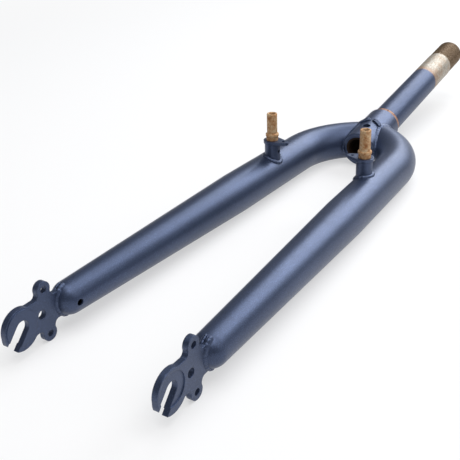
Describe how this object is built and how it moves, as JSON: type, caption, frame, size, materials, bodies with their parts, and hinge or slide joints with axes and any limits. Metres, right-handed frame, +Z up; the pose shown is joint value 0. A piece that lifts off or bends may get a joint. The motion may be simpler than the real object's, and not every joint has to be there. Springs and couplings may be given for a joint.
{
  "type": "bicycle fork",
  "caption": "Rigid steel bicycle fork with curved tapered blades, threaded steerer tube, slotted plate dropouts and rim brake studs, in blue paint.",
  "frame": {"origin": "middle of the fork's box on the surface that it lies on", "axes": "+Y along the fork from the dropouts to the steerer's end, +Z up through the fork's front, +X to the right seen from the dropouts"},
  "size_m": [0.1232, 0.5646, 0.0664],
  "materials": {
    "blade_paint": "satin metallic slate blue paint",
    "weld_paint": "paint over rippled weld beads",
    "steerer_steel": "bare turned steel above, painted below, with light rust",
    "rusty_ring": "turned steel with a bloom of rust",
    "rusty_stud": "plated steel gone brown with rust"
  },
  "bodies": {
    "root": {"steerer_tube": "steerer_steel", "crown_sleeve": "blade_paint", "race_seat": "rusty_ring", "left_blade": "blade_paint", "right_blade": "blade_paint", "left_dropout": "blade_paint", "right_dropout": "blade_paint", "left_boss": "blade_paint", "right_boss": "blade_paint", "left_stud": "rusty_stud", "right_stud": "rusty_stud", "left_crown_weld": "weld_paint", "right_crown_weld": "weld_paint", "left_dropout_weld": "weld_paint", "right_dropout_weld": "weld_paint", "left_boss_weld": "weld_paint", "right_boss_weld": "weld_paint"}
  },
  "joints": []
}
